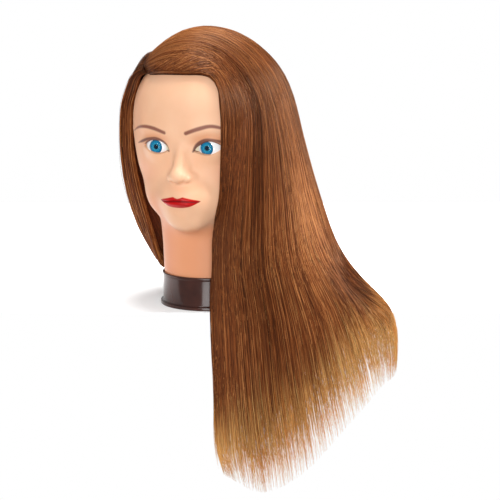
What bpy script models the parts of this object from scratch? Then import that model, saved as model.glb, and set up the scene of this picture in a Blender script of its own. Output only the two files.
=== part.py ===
"""Mannequin training head: a vinyl head on a clamp collar, with glass-type eyes and long straight hair.

The head faces -Y, +X is its own left, +Z is up, and the origin is the middle of the collar's underside.
Shapes are worked out in millimetres and become metres where the mesh is made.
"""
import bmesh
import bpy
import numpy as np

MM = 0.001
GAP = 0.3                       # clearance between neighbouring pieces

# collar and the insert the clamp post goes into
SLEEVE_R_IN, SLEEVE_R_OUT, SLEEVE_TOP = 49.7, 51.0, 36.0
FOOT_R, FOOT_H, FLOOR_H, FLOOR_HOLE_R = 53.8, 3.6, 3.0, 21.0
INSERT_R, INSERT_H, TUBE_R, BORE_R, TUBE_TOP = 43.0, 3.0, 18.0, 12.8, 60.0
RIB_COUNT, RIB_W, RIB_H = 6, 2.4, 9.0

# head
NECK_R = 49.3
NECK_FOOT = 6.6                 # where the vinyl ends inside the sleeve
SKIN = 3.6                      # thickness of the vinyl
FOAM_FOOT = 16.5

# eyes
EYE = np.array([28.6, -63.2, 181.0])
EYE_R = 17.0
EYE_SHELL = 4.6
IRIS_R, PUPIL_R, DISC_H = 7.1, 2.4, 0.5
CORNEA_R = 7.5
IRIS_SEAT = 1.4                 # how far the flat seat of the iris lies behind the rim of its recess
GAZE_RIGHT, GAZE_DOWN = np.radians(5.4), np.radians(3.4)      # where the eyes look, from straight ahead

# hair
HAIR_ROOT_T, HAIR_BODY_T, HAIR_TIP_T = 7.0, 12.0, 3.0
HAIR_OFF_HEAD = 2.2             # least distance of any hair from the skin
SECTION_GAP = 1.5


def fresh_scene():
    for thing in list(bpy.data.objects):
        bpy.data.objects.remove(thing, do_unlink=True)
    made = []
    for name in ("mannequin_training_head", "cutters"):
        group = bpy.data.collections.new(name)
        bpy.context.scene.collection.children.link(group)
        made.append(group)
    return made


PARTS, CUTTERS = fresh_scene()


def material(name, colour, roughness, metallic=0.0):
    m = bpy.data.materials.new(name)
    m.use_nodes = True
    shader = m.node_tree.nodes["Principled BSDF"]
    shader.inputs["Base Color"].default_value = (*colour, 1.0)
    shader.inputs["Roughness"].default_value = roughness
    shader.inputs["Metallic"].default_value = metallic
    return m


VINYL = material("vinyl_skin", (0.86, 0.52, 0.36), 0.45)
FOAM = material("foam_core", (0.82, 0.76, 0.60), 0.9)
COLLAR = material("collar_plastic", (0.055, 0.020, 0.013), 0.15)
INSERT = material("insert_plastic", (0.02, 0.02, 0.02), 0.5)
WHITE = material("eye_white", (0.85, 0.84, 0.82), 0.1)
BLUE = material("iris_blue", (0.02, 0.27, 0.46), 0.2)
BLACK = material("pupil_black", (0.005, 0.005, 0.005), 0.15)
CLEAR = material("cornea_clear", (0.85, 0.92, 0.95), 0.03)
HAIR = material("hair_auburn", (0.22, 0.075, 0.028), 0.4)


def as_object(name, mesh, look=None):
    ob = bpy.data.objects.new(name, mesh)
    (PARTS if look else CUTTERS).objects.link(ob)
    if look:
        mesh.materials.append(look)
    else:
        ob.hide_render = True
        ob.display_type = "WIRE"
    return ob


def from_bmesh(name, bm, look=None, smooth=True):
    bmesh.ops.recalc_face_normals(bm, faces=bm.faces)
    if bm.calc_volume(signed=True) < 0:
        bmesh.ops.reverse_faces(bm, faces=bm.faces)
    mesh = bpy.data.meshes.new(name)
    bm.to_mesh(mesh)
    bm.free()
    if smooth:
        mesh.shade_smooth()
    return as_object(name, mesh, look)


def cut(ob, cutter):
    mod = ob.modifiers.new("cut_" + cutter.name, "BOOLEAN")
    mod.operation = "DIFFERENCE"
    mod.solver = "EXACT"
    mod.object = cutter


def add_cylinder(bm, radius, z0, z1, sides=48):
    made = bmesh.ops.create_cone(bm, cap_ends=True, segments=sides, radius1=radius * MM, radius2=radius * MM,
                                 depth=(z1 - z0) * MM)
    bmesh.ops.translate(bm, verts=made["verts"], vec=(0, 0, (z0 + z1) / 2 * MM))


def turned(name, profile, look=None, sides=64):
    """A ring or disc turned round Z from a closed profile of (radius, height) points."""
    mesh = bpy.data.meshes.new(name)
    points = [(r * MM, 0.0, z * MM) for r, z in profile]
    edges = [(k, (k + 1) % len(points)) for k in range(len(points))]
    mesh.from_pydata(points, edges, [])
    ob = as_object(name, mesh, look)
    spin = ob.modifiers.new("turn", "SCREW")
    spin.steps = spin.render_steps = sides
    spin.use_merge_vertices = True
    spin.merge_threshold = 0.0001
    spin.use_smooth_shade = True
    return ob


# ---------------------------------------------------------------- shape of the head

def length(v):
    return np.sqrt((v * v).sum(-1))


def ellipsoid(p, centre, radii):
    q = (p - np.array(centre, float)) / np.array(radii, float)
    near, steep = length(q), length(q / np.array(radii, float))
    return near * (near - 1) / np.maximum(steep, 1e-9)


def rod(p, start, end, r_start, r_end):
    a, b = np.array(start, float), np.array(end, float)
    along = np.clip(((p - a) @ (b - a)) / ((b - a) @ (b - a)), 0, 1)
    return length(p - a - along[..., None] * (b - a)) - (r_start + (r_end - r_start) * along)


def join(a, b, soft):
    h = np.clip(0.5 + 0.5 * (b - a) / soft, 0, 1)
    return b + (a - b) * h - soft * h * (1 - h)


def carve(a, b, soft):
    return -join(-a, b, soft)


def half_of(p):
    """The head is the same on both sides, so only the left side is described."""
    m = p.copy()
    m[..., 0] = np.abs(m[..., 0])
    return m


def skull(p):
    """Distance to the plain mass of the head and neck."""
    m = half_of(p)
    d = ellipsoid(m, (0, 3, 214), (77, 91, 79))
    d = join(d, ellipsoid(m, (0, -26, 220), (62, 57, 52)), 16)       # forehead
    d = join(d, ellipsoid(m, (0, -25, 185), (72, 57, 91)), 14)       # face
    d = join(d, ellipsoid(m, (0, -38, 127), (54, 43, 36)), 14)       # jaw
    d = join(d, ellipsoid(m, (0, -64, 105), (20, 18, 16)), 14)       # chin
    lean = -0.10 * np.clip(m[..., 2] - 36, 0, 60)
    flare = 0.0012 * np.clip(m[..., 2] - 60, 0, 200) ** 2
    neck = np.hypot(m[..., 0], m[..., 1] - lean) - NECK_R - flare
    return join(d, np.maximum(neck, m[..., 2] - 190), 12)


def lip_lines(x):
    """Heights of the upper outline, the seam and the lower outline of the lips."""
    t = np.clip(np.abs(x) / 22.4, 0, 1)
    seam = 124.7 + 0.5 * np.cos(t * np.pi * 1.5)
    bow = 0.52 + 0.48 * np.clip(t / 0.24, 0, 1) ** 1.5
    upper = seam + 5.2 * (1 - t) ** 0.62 * bow * (1 + 0.25 * t)
    lower = seam - 7.4 * (1 - t**1.9) ** 1.15
    return upper, seam, lower


def lip_swell(x, z):
    upper, seam, lower = lip_lines(x)
    top = np.clip((z - seam) / np.maximum(upper - seam, 0.2), 0, 1)
    low = np.clip((seam - z) / np.maximum(seam - lower, 0.2), 0, 1)
    fall = 1 - np.clip(np.abs(x) / 22.4, 0, 1) ** 2
    rise = np.where(z > seam, np.sin(np.pi * top**0.8) * 1.5, np.sin(np.pi * low**0.75) * 2.1)
    return rise * fall - 0.9 * np.exp(-((z - seam) / 0.9) ** 2) * fall


def face(p):
    """Distance to the head with its features."""
    m = half_of(p)
    d = skull(p)
    d = join(d, ellipsoid(m, (75, 6, 172), (7, 12, 25)), 4)           # ear
    d = carve(d, ellipsoid(m, (27, -97, 183), (15, 13, 10)), 12)      # orbit
    d = join(d, rod(m, (12, -76.5, 199), (40, -69, 203), 7, 6), 12)   # brow
    d = join(d, ellipsoid(m, (0, -72, 127), (26, 21, 19)), 12)        # round of the mouth
    nose = rod(m, (0, -74, 198), (0, -93.2, 156), 4.4, 5.0)
    nose = join(nose, rod(m, (0, -70, 192), (0, -82, 153), 6.0, 10.0), 6)
    nose = join(nose, rod(m, (0, -94.8, 152.0), (0, -80, 152), 7.4, 9.0), 4)
    nose = join(nose, rod(m, (8.2, -89.0, 149.6), (9.0, -78, 149.6), 4.6, 5.4), 3)
    d = join(d, nose, 6)
    d = join(d, length(m - EYE) - EYE_R - 1.8, 5)                     # lids
    d = d - lip_swell(m[..., 0], m[..., 2]) * np.clip((-60 - m[..., 1]) / 10, 0, 1)
    return carve(d, ellipsoid(m, (0, -96, 112.5), (14, 6.0, 4.5)), 8)


# height on the face, elevation of the ray through it, height the ray starts from
AIM = np.array([
    (4, 0, 4), (50, 0, 50), (66, -4, 70), (80, -13, 92), (92, -19, 119), (110, -20, 141), (125, -23, 162),
    (144, -26, 184), (155, -21, 189), (181, -11, 197), (202, 1, 200), (225, 14, 204), (256, 38, 205),
    (330, 90, 205)])


def rays(turns, heights):
    """Rays from inside the head, by turn from the front in degrees and by height on the face."""
    fine = np.linspace(4, 330, 654)
    kernel = np.hanning(25) / np.hanning(25).sum()
    eased = []
    for column in (1, 2):
        value = np.interp(fine, AIM[:, 0], AIM[:, column])
        value = np.convolve(np.pad(value, 12, mode="reflect", reflect_type="odd"), kernel, "valid")
        eased.append(np.interp(heights, fine, value))
    lift, start = np.radians(eased[0])[:, None], eased[1]
    turn = np.radians(turns)[None, :]
    way = np.stack([np.sin(turn) * np.cos(lift), -np.cos(turn) * np.cos(lift), np.sin(lift) + 0 * turn], -1)
    origin = np.zeros_like(way)
    origin[..., 1] = np.interp(start, [4, 50, 110, 205], [0, -2, -10, -8])[:, None]
    origin[..., 2] = start[:, None]
    return origin, way


def exits(origin, way, shape, steps=70):
    reach = np.full(origin.shape[:-1], 4.0)
    for _ in range(steps):
        reach = np.clip(reach - shape(origin + way * reach[..., None]) * 0.8, 0, 135)
    return origin + way * reach[..., None]


def stops(*marks):
    """Values from mark to mark, each mark giving where it is and the step that follows it."""
    out = []
    for (low, step), (high, _) in zip(marks[:-1], marks[1:]):
        count = max(1, round(abs(high - low) / step))
        out.extend(low + (high - low) * k / count for k in range(count))
    return out + [marks[-1][0]]


def ball_to_shape(name, turns, heights, shape, foot, look=None):
    """A UV sphere carried out along the rays, with its last ring at the foot."""
    origin, way = rays(np.array(turns), np.array(heights))
    rings = exits(origin, way, shape)
    rings[-1, :, 2] = foot
    rows, columns = rings.shape[:2]
    bm = bmesh.new()
    bmesh.ops.create_uvsphere(bm, u_segments=columns, v_segments=rows + 1, radius=1.0)
    bm.verts.ensure_lookup_table()
    poles = [v for v in bm.verts if len(v.link_edges) == columns]
    levels = sorted({round(v.co.z, 5) for v in bm.verts}, reverse=True)
    ring_of = {z: k for k, z in enumerate(levels)}
    for v in bm.verts:
        if v in poles:
            continue
        row = ring_of[round(v.co.z, 5)] - 1
        column = round(np.degrees(np.arctan2(v.co.y, v.co.x)) / (360 / columns)) % columns
        v.co = [c * MM for c in rings[row, column]]
    for v in poles:
        high = v.co.z > 0
        ring = rings[0] if high else rings[-1]
        v.co = (0, ring[:, 1].mean() * MM, (ring[:, 2].mean() + (0.4 if high else 0)) * MM)
    bmesh.ops.triangulate(bm, faces=bm.faces, quad_method="FIXED")
    return from_bmesh(name, bm, look)


FACE_SIDE = stops((0, 4.5), (36, 8), (60, 12), (180, 12))
TURNS = [-t for t in FACE_SIDE[:0:-1]] + FACE_SIDE[:-1]
HEIGHTS = stops((322, 10), (250, 9), (214, 6), (196, 4.2), (112, 6), (84, 11), (39, 16), (NECK_FOOT, 1))
CORE_TURNS = list(np.arange(-180, 180, 15.0))
CORE_HEIGHTS = stops((314, 16), (250, 15), (130, 10), (70, 18), (FOAM_FOOT, 1))


def inner_wall(extra):
    """The inside of the vinyl: an even wall, left thick at the chin, where the throat turns in."""
    def shape(p):
        z = p[..., 2]
        throat = (-38 - 1.6 * np.clip(z - 92, 0, None) - 0.4 * np.clip(76 - z, 0, None) - p[..., 1]) / 1.9
        even = np.maximum(skull(p) + SKIN + 0.6 + extra, face(p) + SKIN + extra)
        return np.maximum(even, throat + extra)
    return shape


def eye_ball_cutter(name, side, radius):
    bm = bmesh.new()
    bmesh.ops.create_uvsphere(bm, u_segments=28, v_segments=16, radius=radius * MM)
    bmesh.ops.translate(bm, verts=bm.verts, vec=(side * EYE[0] * MM, EYE[1] * MM, EYE[2] * MM))
    return from_bmesh(name, bm)


def almond_outline(side, arc_points=7):
    """Points round the eye opening, seen from the front, counter-clockwise."""
    inner, outer = np.array([15.8, 178.2]), np.array([42.2, 182.6])
    middle, chord = (inner + outer) / 2, outer - inner
    half = np.hypot(*chord) / 2
    along, up = chord / (2 * half), np.array([-chord[1], chord[0]]) / (2 * half)
    outline = []
    for rise, sense in ((-6.2, 1), (7.2, -1)):
        for t in np.linspace(-1, 1, arc_points)[:-1]:
            outline.append(middle + along * half * t * sense + up * rise * (1 - t * t))
    return [(side * x, z) for x, z in outline][::side]


def almond_cutter(name, side):
    bm = bmesh.new()
    front = [bm.verts.new((x * MM, -0.100, z * MM)) for x, z in almond_outline(side)]
    made = bmesh.ops.extrude_face_region(bm, geom=[bm.faces.new(front)])
    moved = [g for g in made["geom"] if isinstance(g, bmesh.types.BMVert)]
    bmesh.ops.translate(bm, verts=moved, vec=(0, 0.040, 0))
    return from_bmesh(name, bm)


def build_head():
    skin = ball_to_shape("head_skin", TURNS, HEIGHTS, face, NECK_FOOT, VINYL)
    below = NECK_FOOT - 3
    hollow = ball_to_shape("skin_hollow", CORE_TURNS, CORE_HEIGHTS[:-1] + [below], inner_wall(0), below)
    foam = ball_to_shape("foam_core", CORE_TURNS, CORE_HEIGHTS, inner_wall(GAP), FOAM_FOOT, FOAM)
    cut(skin, hollow)
    for side, word in ((1, "left"), (-1, "right")):
        cut(skin, eye_ball_cutter("eye_room_" + word, side, EYE_R + GAP))
        cut(skin, almond_cutter("eye_opening_" + word, side))
        cut(foam, eye_ball_cutter("foam_eye_room_" + word, side, EYE_R + 2 * GAP))
    bm = bmesh.new()
    add_cylinder(bm, TUBE_R + GAP, 0, TUBE_TOP + GAP)
    cut(foam, from_bmesh("foam_bore", bm))


def build_collar():
    turned("base_collar", [
        (FLOOR_HOLE_R, 0), (FLOOR_HOLE_R, FLOOR_H), (SLEEVE_R_IN, FLOOR_H), (SLEEVE_R_IN, SLEEVE_TOP - 1.0),
        (SLEEVE_R_IN + 0.4, SLEEVE_TOP), (SLEEVE_R_OUT + 0.2, SLEEVE_TOP),
        (SLEEVE_R_OUT + 0.6, SLEEVE_TOP - 1.2), (SLEEVE_R_OUT + 0.2, SLEEVE_TOP - 2.6),
        (SLEEVE_R_OUT, SLEEVE_TOP - 4.0), (SLEEVE_R_OUT, FOOT_H + 1.2),
        (SLEEVE_R_OUT + 0.8, FOOT_H), (FOOT_R - 0.5, FOOT_H), (FOOT_R, FOOT_H - 0.5), (FOOT_R, 0.4),
        (FOOT_R - 0.4, 0)], COLLAR, 60)
    low = FLOOR_H + GAP
    insert = turned("socket_insert", [
        (BORE_R + 0.8, low), (BORE_R, low + 1.5), (BORE_R - 0.5, TUBE_TOP - 3), (1.5, TUBE_TOP - 3),
        (1.5, TUBE_TOP),
        (TUBE_R - 1, TUBE_TOP), (TUBE_R, TUBE_TOP - 1), (TUBE_R, low + INSERT_H), (INSERT_R, low + INSERT_H),
        (INSERT_R, low)][::-1], INSERT, 40)
    ribs = from_bmesh("insert_ribs", ribs_mesh(low + 1, low + INSERT_H + RIB_H), smooth=False)
    merge = insert.modifiers.new("add_ribs", "BOOLEAN")
    merge.operation = "UNION"
    merge.solver = "EXACT"
    merge.object = ribs


def ribs_mesh(low, high):
    """Stiffening ribs from the tube out towards the rim of the insert."""
    inner, outer = TUBE_R - 2, INSERT_R - 2
    bm = bmesh.new()
    for k in range(RIB_COUNT):
        made = bmesh.ops.create_cube(bm, size=1.0)["verts"]
        turn = 2 * np.pi * (k + 0.5) / RIB_COUNT
        for v in made:
            along = (inner + outer) / 2 + v.co.x * (outer - inner)
            across = v.co.y * RIB_W
            v.co = ((along * np.cos(turn) - across * np.sin(turn)) * MM,
                    (along * np.sin(turn) + across * np.cos(turn)) * MM,
                    ((low + high) / 2 + v.co.z * (high - low)) * MM)
    return bm


def build_eyes():
    """Domed white shell, flat iris and pupil discs let into its front, and a clear cornea flush over them."""
    room = CORNEA_R + GAP
    edge = np.sqrt(EYE_R**2 - room**2)          # how far forward the rim of the recess lies
    seat = edge - IRIS_SEAT
    back = EYE_R - EYE_SHELL
    front_arc = [(EYE_R * np.sin(t), EYE_R * np.cos(t)) for t in np.linspace(np.arcsin(room / EYE_R), 1.4, 9)]
    back_arc = [(back * np.sin(t), back * np.cos(t)) for t in np.linspace(1.4, 0.1, 8)]
    recess = [(back_arc[-1][0], seat), (room, seat)]
    disc = seat + GAP
    for side, word in ((1, "left"), (-1, "right")):
        bm = bmesh.new()
        add_cylinder(bm, PUPIL_R, disc, disc + DISC_H, 24)
        pieces = (
            turned("eye_" + word, front_arc + back_arc + recess, WHITE, 32),
            turned("iris_" + word, [(PUPIL_R + GAP, disc), (PUPIL_R + GAP, disc + DISC_H),
                                    (IRIS_R, disc + DISC_H), (IRIS_R, disc)], BLUE, 32),
            from_bmesh("pupil_" + word, bm, BLACK),
            cornea("cornea_" + word, disc + DISC_H + GAP, edge))
        for ob in pieces:
            ob.location = (side * EYE[0] * MM, EYE[1] * MM, EYE[2] * MM)
            ob.rotation_euler = (np.pi / 2 + GAZE_DOWN, 0, -GAZE_RIGHT)


def cornea(name, under, edge):
    """A clear lens: flat underneath, its top part of the same ball as the white of the eye."""
    bm = bmesh.new()
    add_cylinder(bm, CORNEA_R, under, edge, 32)
    top = [f for f in bm.faces if f.normal.z > 0.9]
    ring = list(top[0].verts)
    for shrink in (0.8, 0.55, 0.28):
        bmesh.ops.inset_region(bm, faces=top, thickness=0.0001 * MM)
        for v in top[0].verts:
            flat = np.hypot(v.co.x, v.co.y)
            v.co.x *= shrink * CORNEA_R * MM / flat
            v.co.y *= shrink * CORNEA_R * MM / flat
            v.co.z = np.sqrt(EYE_R**2 - (shrink * CORNEA_R)**2) * MM
    for v in ring:
        v.co.z = edge * MM
    return from_bmesh(name, bm, CLEAR)


# ---------------------------------------------------------------- hair

# The parting runs back from the hairline on the head's right side (x, y).
PARTING = np.array([(-59, -74), (-55, -50), (-50, -24), (-46, 10), (-32, 40), (-14, 62)], float)
PARTING_HALF_W = 1.6
ROOT_LIFT = 9.5                  # how far the hair stands off the head at the parting
OVER_COUNT = 9
ROOT_SHARE = 0.12                # part of the length over which hair stands straight off the scalp
SCALP_CENTRE = np.array([0.0, 3.0, 205.0])

# Guides from the front edge of the long curtain, round the back, to the front edge on the right side.
# Each has its place along the parting (0 front, 1 crown), how far its hair stands off the head,
# points it passes on the head, and points it hangs through.
GUIDES = [
    (0.00, 3.5, [(-33, -67.5, 255), (-7, -77, 256), (15, -76, 256), (28, -72, 255.5)],
     [(37.6, -75, 244), (41.8, -77.5, 231), (43.5, -78.5, 203), (44, -78.5, 176), (41.8, -76, 150),
      (38, -73, 122), (30.4, -70, 90), (29.6, -69, 57), (28, -70, 0), (30, -69, -70), (31, -65, -146),
      (39, -62, -180)]),
    (0.14, 9.5, [(0, -66, 285), (34, -62, 271)],
     [(64, -62, 225), (65, -68, 178), (62, -69, 125), (58, -68, 60), (63, -63, 0), (71, -61, -100),
      (81, -54, -198)]),
    (0.28, 11.0, [(30, -44, 282)],
     [(80, -44, 225), (85, -51, 178), (88, -55, 125), (92, -62, 60), (102, -53, 0), (113, -47, -90),
      (124, -37, -176)]),
    (0.40, 11.0, [(34, -26, 288)],
     [(87, -24, 225), (97, -26, 178), (107, -32, 125), (120, -42, 60), (142, -33, 0), (156, -26, -60),
      (168, -18, -124)]),
    (0.52, 11.0, [(36, -6, 290)],
     [(91, 0, 225), (103, -2, 178), (115, -8, 125), (139, -17, 60), (171, -12, 10), (189, -7, -32),
      (199, -2, -84)]),
    (0.64, 11.0, [(36, 14, 289)],
     [(90, 22, 225), (103, 24, 178), (121, 20, 125), (142, 24, 62), (153, 21, 38), (171, 17, 24),
      (194, 12, 13), (209, 7, 3), (216, 5, -20), (216, 7, -56)]),
    (0.76, 11.0, [(32, 36, 284)],
     [(82, 58, 225), (94, 56, 178), (110, 55, 125), (132, 56, 66), (148, 54, 34), (168, 50, 17),
      (186, 44, 8)]),
    (0.90, 11.0, [(20, 56, 280)],
     [(52, 88, 225), (66, 90, 178), (84, 88, 125), (104, 86, 72), (130, 80, 34), (158, 70, 15),
      (182, 58, 7)]),
    (1.00, 11.0, [(8, 70, 272)],
     [(6, 102, 225), (16, 104, 178), (34, 104, 125), (58, 104, 74), (92, 101, 34), (132, 90, 15),
      (168, 78, 7)]),
    (1.00, 11.0, [(-28, 76, 266)],
     [(-50, 92, 225), (-40, 97, 178), (-22, 98, 125), (6, 100, 74), (46, 110, 34), (92, 108, 15),
      (134, 100, 7)]),
    (0.78, 11.5, [(-52, 54, 268)],
     [(-84, 58, 225), (-79, 68, 178), (-63, 74, 125), (-36, 82, 74), (2, 100, 36), (50, 114, 16),
      (98, 114, 7)]),
    (0.40, 12.0, [(-66, 8, 268)],
     [(-94, 14, 225), (-95, 24, 178), (-86, 32, 125), (-66, 50, 78), (-40, 74, 42), (12, 104, 18),
      (62, 128, 7)]),
    (0.04, 12.0, [(-57, -51, 251), (-71, -43, 240)],
     [(-90, -34, 222), (-95, -27, 178), (-96.5, -19, 150), (-96, -13, 130), (-95.5, -4.5, 112),
      (-94, 6.5, 93), (-91.5, 18, 74), (-87.5, 34, 54), (-81, 52, 33.5), (-52, 78, 18), (-8, 104, 12),
      (34, 132, 8)]),
]


EASE_PLACES, EASE_ROUNDS, EASE_TO = 72, 8, 0.42     # rounding of each guide's bend off the head


def head_drop(directions, lift):
    """Points on the head in these directions from the middle of the skull, raised by lift."""
    origin = np.broadcast_to(SCALP_CENTRE, directions.shape)
    unit = directions / length(directions)[..., None]
    return exits(origin, unit, lambda p: skull(p) - lift)


def parting_point(along, side, lift):
    k = np.linspace(0, 1, len(PARTING))
    x = np.interp(along, k, PARTING[:, 0]) + side * (PARTING_HALF_W + 20 * max(0, along - 0.85))
    y = np.interp(along, k, PARTING[:, 1])
    near = np.array([x, y, 268.0])
    return head_drop((near - SCALP_CENTRE)[None], lift)[0]


def spline(points, count):
    """A smooth curve through the points, sampled at equal steps along its length."""
    points = np.asarray(points, float)
    ends = np.vstack([2 * points[0] - points[1], points, 2 * points[-1] - points[-2]])
    t = np.linspace(0, 1, 24)[:-1, None]
    pieces = []
    for k in range(1, len(ends) - 2):
        p0, p1, p2, p3 = ends[k - 1:k + 3]
        pieces.append(0.5 * (2 * p1 + (p2 - p0) * t + (2 * p0 - 5 * p1 + 4 * p2 - p3) * t**2
                             + (3 * p1 - p0 - 3 * p2 + p3) * t**3))
    curve = np.vstack(pieces + [points[-1:]])
    run = np.concatenate([[0], np.cumsum(length(np.diff(curve, axis=0)))])
    wanted = np.linspace(0, run[-1], count)
    return np.stack([np.interp(wanted, run, curve[:, k]) for k in range(3)], -1)


LEFT_GUIDES = 9                  # guides whose roots are on the left of the parting
FULLNESS = (0.7, 1, 1, 0.9, 0.75, 0.44, 0.7, 0.9, 1, 0.9, 0.7, 0.8, 1.15)     # thickness at each guide
ALONG = 25                       # rows along each section of hair
ACROSS = 4                       # columns across each section


def over_the_head(root, over, first, lift):
    """Points of a guide over the head: it rises beside the parting and then settles to its lift."""
    path = spline(np.vstack([root, over, first]), OVER_COUNT)
    ends = skull(path[[0, -1]])
    high = np.interp(np.linspace(0, 1, OVER_COUNT), [0, 0.25, 0.6, 1], [ends[0], 1.3 * lift, lift, ends[1]])
    return head_drop(path - SCALP_CENTRE, high)[:-1]


def eased(curve):
    """A guide with its bend from the head into the hanging part rounded off; the ends are kept."""
    share = np.linspace(0, 1, EASE_PLACES)[1:-1, None]
    amount = np.interp(share, [0.0, 0.06, EASE_TO, EASE_TO + 0.12], [0.3, 1, 1, 0])
    for _ in range(EASE_ROUNDS):
        curve[1:-1] += amount * (0.25 * curve[:-2] + 0.25 * curve[2:] - 0.5 * curve[1:-1])
    return curve


def guide_curves(count):
    curves = []
    for k, (along, lift, over, hang) in enumerate(GUIDES):
        root = parting_point(along, 1 if k < LEFT_GUIDES else -1, min(lift, ROOT_LIFT))
        curve = spline(np.vstack([over_the_head(root, over, hang[0], lift), hang]), EASE_PLACES)
        curves.append(spline(eased(curve) if k > 0 else curve, count))
    return np.array(curves)


def hair_sheet(rows, columns):
    """The hair's outer surface and the way out of it, on rows along and columns across all the guides."""
    curves = guide_curves(rows)
    guides = len(curves)
    at = np.linspace(0, guides - 1, (guides - 1) * columns + 1)
    ends = np.concatenate([[2 * curves[0] - curves[1]], curves, [2 * curves[-1] - curves[-2]]])
    k = np.minimum(at.astype(int), guides - 2)
    t = (at - k)[:, None, None]
    p0, p1, p2, p3 = ends[k], ends[k + 1], ends[k + 2], ends[k + 3]
    sheet = 0.5 * (2 * p1 + (p2 - p0) * t + (2 * p0 - 5 * p1 + 4 * p2 - p3) * t**2
                   + (3 * p1 - p0 - 3 * p2 + p3) * t**3)
    across, along = np.gradient(sheet, axis=0), np.gradient(sheet, axis=1)
    out = np.cross(along, across)
    out /= np.maximum(length(out), 1e-6)[..., None]
    radial = sheet - SCALP_CENTRE
    radial /= length(radial)[..., None]
    rooted = np.clip(1 - np.linspace(0, 1, rows) / ROOT_SHARE, 0, 1)[None, :, None]
    out = out * (1 - rooted) + radial * rooted
    return sheet, out / length(out)[..., None]


def off_the_head(points, least):
    """Points nearer the skin than allowed are moved straight out from it."""
    moved = points.copy()
    for _ in range(3):
        d = face(moved)
        slope = np.stack([face(moved + step) - d for step in np.eye(3) * 0.5], -1)
        slope /= np.maximum(length(slope), 1e-6)[..., None]
        moved += slope * np.clip(least - d, 0, None)[..., None]
    return moved


def hair_thickness(v):
    return np.interp(v, [0, 0.08, 0.3, 0.5, 0.75, 1.0], [2.5, HAIR_ROOT_T, HAIR_ROOT_T + 3, HAIR_BODY_T,
                                                          0.7 * HAIR_BODY_T, HAIR_TIP_T])


SECTIONS = ("hair_front_curtain", "hair_left_temple", "hair_left_front", "hair_left_side", "hair_left_outer",
            "hair_left_back", "hair_back_left", "hair_back_mid_left", "hair_back_centre", "hair_back_right",
            "hair_right_back", "hair_right_side")


def pulled_in(block):
    """The same rows with both outer columns moved inwards, so neighbouring sections stay apart."""
    moved = block.copy()
    for edge, inside in ((0, 1), (-1, -2)):
        step = block[inside] - block[edge]
        width = np.maximum(length(step), 1e-6)[:, None]
        moved[edge] += step / width * np.minimum(SECTION_GAP / 2, 0.3 * width)
    return moved


def slab(name, outer, inner, look):
    """A grid given thickness, its front face laid on the outer points and its back face on the inner ones."""
    columns, rows = outer.shape[:2]
    bm = bmesh.new()
    bmesh.ops.create_grid(bm, x_segments=columns - 1, y_segments=rows - 1, size=1.0)
    made = bmesh.ops.extrude_face_region(bm, geom=bm.faces[:] + bm.edges[:] + bm.verts[:], use_keep_orig=True)
    moved = [g for g in made["geom"] if isinstance(g, bmesh.types.BMVert)]
    bmesh.ops.translate(bm, verts=moved, vec=(0, 0, 1))
    for v in bm.verts:
        column = round((v.co.x + 1) / 2 * (columns - 1))
        row = round((v.co.y + 1) / 2 * (rows - 1))
        v.co = (outer if v.co.z > 0.5 else inner)[column, row] * MM
    return from_bmesh(name, bm, look)


def build_hair():
    sheet, out = hair_sheet(ALONG, ACROSS)
    share = np.interp(np.linspace(0, len(GUIDES) - 1, len(sheet)), np.arange(len(GUIDES)), FULLNESS)
    thick = (share[:, None] * hair_thickness(np.linspace(0, 1, ALONG))[None, :])[..., None]
    outer = off_the_head(sheet, HAIR_OFF_HEAD + 3.5)
    inner = off_the_head(outer - out * thick, HAIR_OFF_HEAD)
    for k, name in enumerate(SECTIONS):
        block = slice(k * ACROSS, (k + 1) * ACROSS + 1)
        slab(name, pulled_in(outer[block]), pulled_in(inner[block]), HAIR)


build_head()
build_collar()
build_eyes()
build_hair()
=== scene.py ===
"""How the mannequin training head looks: painted vinyl face, glass eyes, glossy collar, long auburn hair.

Shapes are worked out in millimetres in the frame's own axes (the face looks along -Y, +X is the head's
left, +Z is up, 0 is the middle of the collar's underside) and become metres where a mesh is made.
"""
import math

import bpy
import numpy as np
from mathutils import Euler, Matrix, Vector


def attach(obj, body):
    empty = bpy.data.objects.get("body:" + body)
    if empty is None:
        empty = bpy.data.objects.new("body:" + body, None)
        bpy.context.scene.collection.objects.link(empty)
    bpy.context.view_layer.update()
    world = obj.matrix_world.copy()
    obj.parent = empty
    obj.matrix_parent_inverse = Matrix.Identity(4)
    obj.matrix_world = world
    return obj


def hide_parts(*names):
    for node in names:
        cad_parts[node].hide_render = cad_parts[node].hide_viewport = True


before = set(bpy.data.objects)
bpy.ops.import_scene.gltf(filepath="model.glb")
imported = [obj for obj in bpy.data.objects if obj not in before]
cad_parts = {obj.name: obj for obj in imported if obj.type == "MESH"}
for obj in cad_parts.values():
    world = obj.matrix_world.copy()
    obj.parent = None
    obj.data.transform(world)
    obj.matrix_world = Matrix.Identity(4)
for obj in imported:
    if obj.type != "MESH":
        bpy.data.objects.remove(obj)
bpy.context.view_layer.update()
MM = 0.001
BODY = "root"
rng = np.random.default_rng(7)


# ---------------- helpers

def length(v):
    return np.sqrt((v * v).sum(-1))


def unit(v):
    return v / np.maximum(length(v), 1e-9)[..., None]


def hump(value, middle, width):
    """A smooth hump, 1 at the middle and fading on both sides."""
    return np.exp(-((value - middle) / width) ** 2)


def between(p0, p1, p2, p3, t):
    """The point at a share t of the way from p1 to p2, on a smooth curve through the four points."""
    return 0.5 * (2 * p1 + (p2 - p0) * t + (2 * p0 - 5 * p1 + 4 * p2 - p3) * t**2
                  + (3 * p1 - p0 - 3 * p2 + p3) * t**3)


def srgb(*rgb):
    """A colour picked on screen, 0 to 255, as the linear values that shaders use."""
    c = np.array(rgb, float) / 255
    return tuple(np.where(c <= 0.04045, c / 12.92, ((c + 0.055) / 1.055) ** 2.4)) + (1.0,)


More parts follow.
